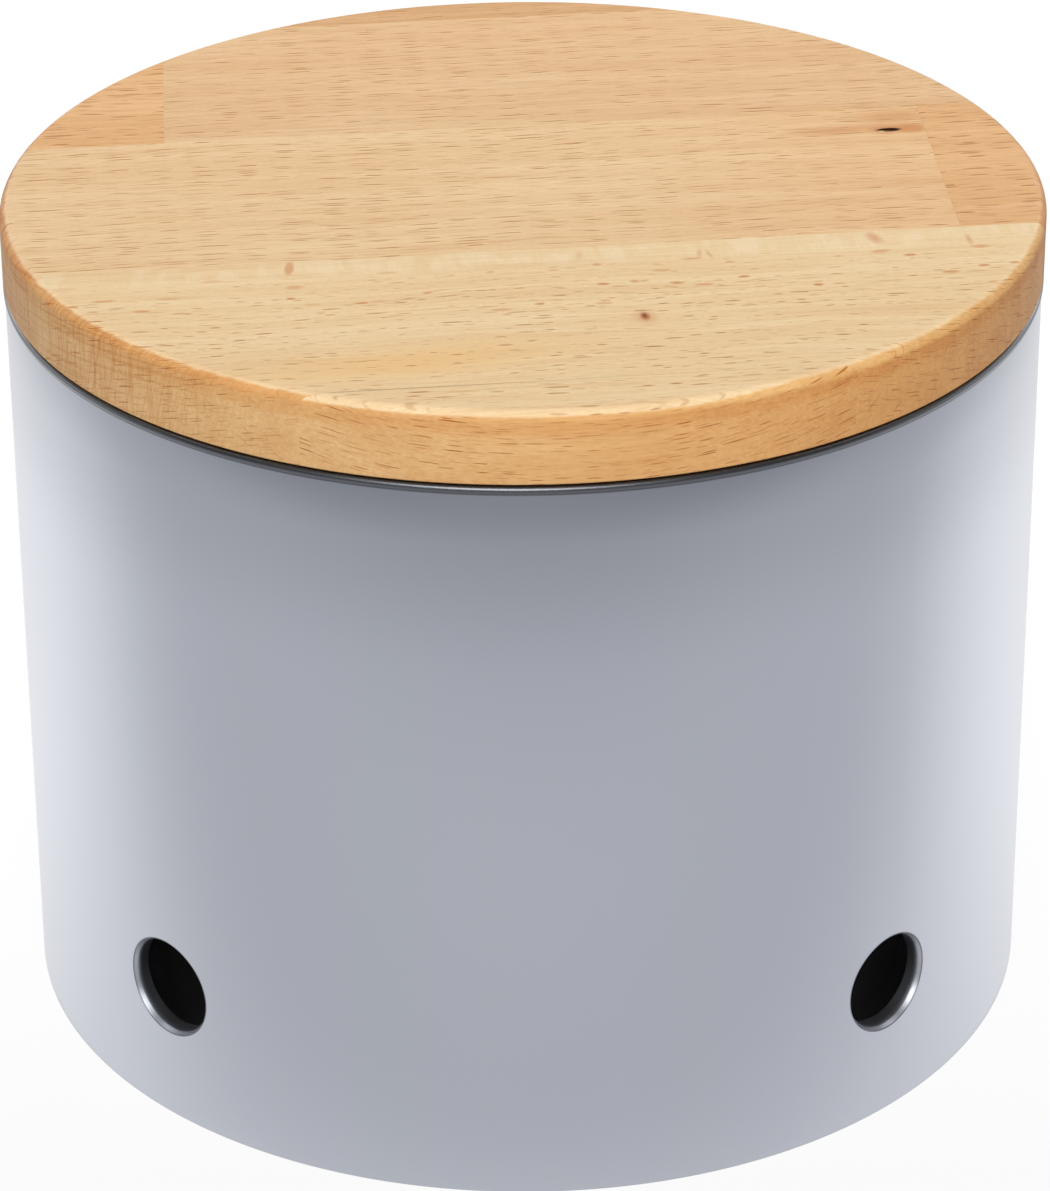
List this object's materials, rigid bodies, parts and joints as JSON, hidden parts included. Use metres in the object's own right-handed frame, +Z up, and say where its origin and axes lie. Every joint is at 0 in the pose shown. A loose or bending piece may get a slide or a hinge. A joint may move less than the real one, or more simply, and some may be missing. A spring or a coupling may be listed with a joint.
{
  "type": "garlic keeper",
  "caption": "Round vented sheet-steel pot with a curled rim, closed by a lift-off glued beech board lid with a seal ring.",
  "frame": {"origin": "centre of the pot's underside, on the surface it stands on", "axes": "+Z up along the pot's axis, -Y towards the front, with a vent on either side of it, +X to the right seen from the front"},
  "size_m": [0.1304, 0.1304, 0.1066],
  "materials": {
    "satin_steel": "satin clear-lacquered sheet steel, cool grey",
    "pale_beech": "oiled beech, pale cream",
    "pink_beech": "oiled beech, pinkish tan",
    "amber_beech": "oiled beech, warm amber",
    "clear_silicone": "matt translucent white silicone"
  },
  "bodies": {
    "pot": {"pot_wall": "satin_steel", "pot_base": "satin_steel"},
    "lid": {"lid_stave_front_edge": "pale_beech", "lid_stave_front": "pale_beech", "lid_stave_middle_long": "pink_beech", "lid_stave_middle_short": "amber_beech", "lid_stave_rear_long": "pink_beech", "lid_stave_rear_short": "amber_beech", "lid_stave_back_edge": "pink_beech", "lid_seal_ring": "clear_silicone"}
  },
  "joints": [
    {"name": "lid_lift", "type": "slide", "parent": "pot", "child": "lid", "axis": [0, 0, 1], "range_m": [0, 0.12]}
  ]
}
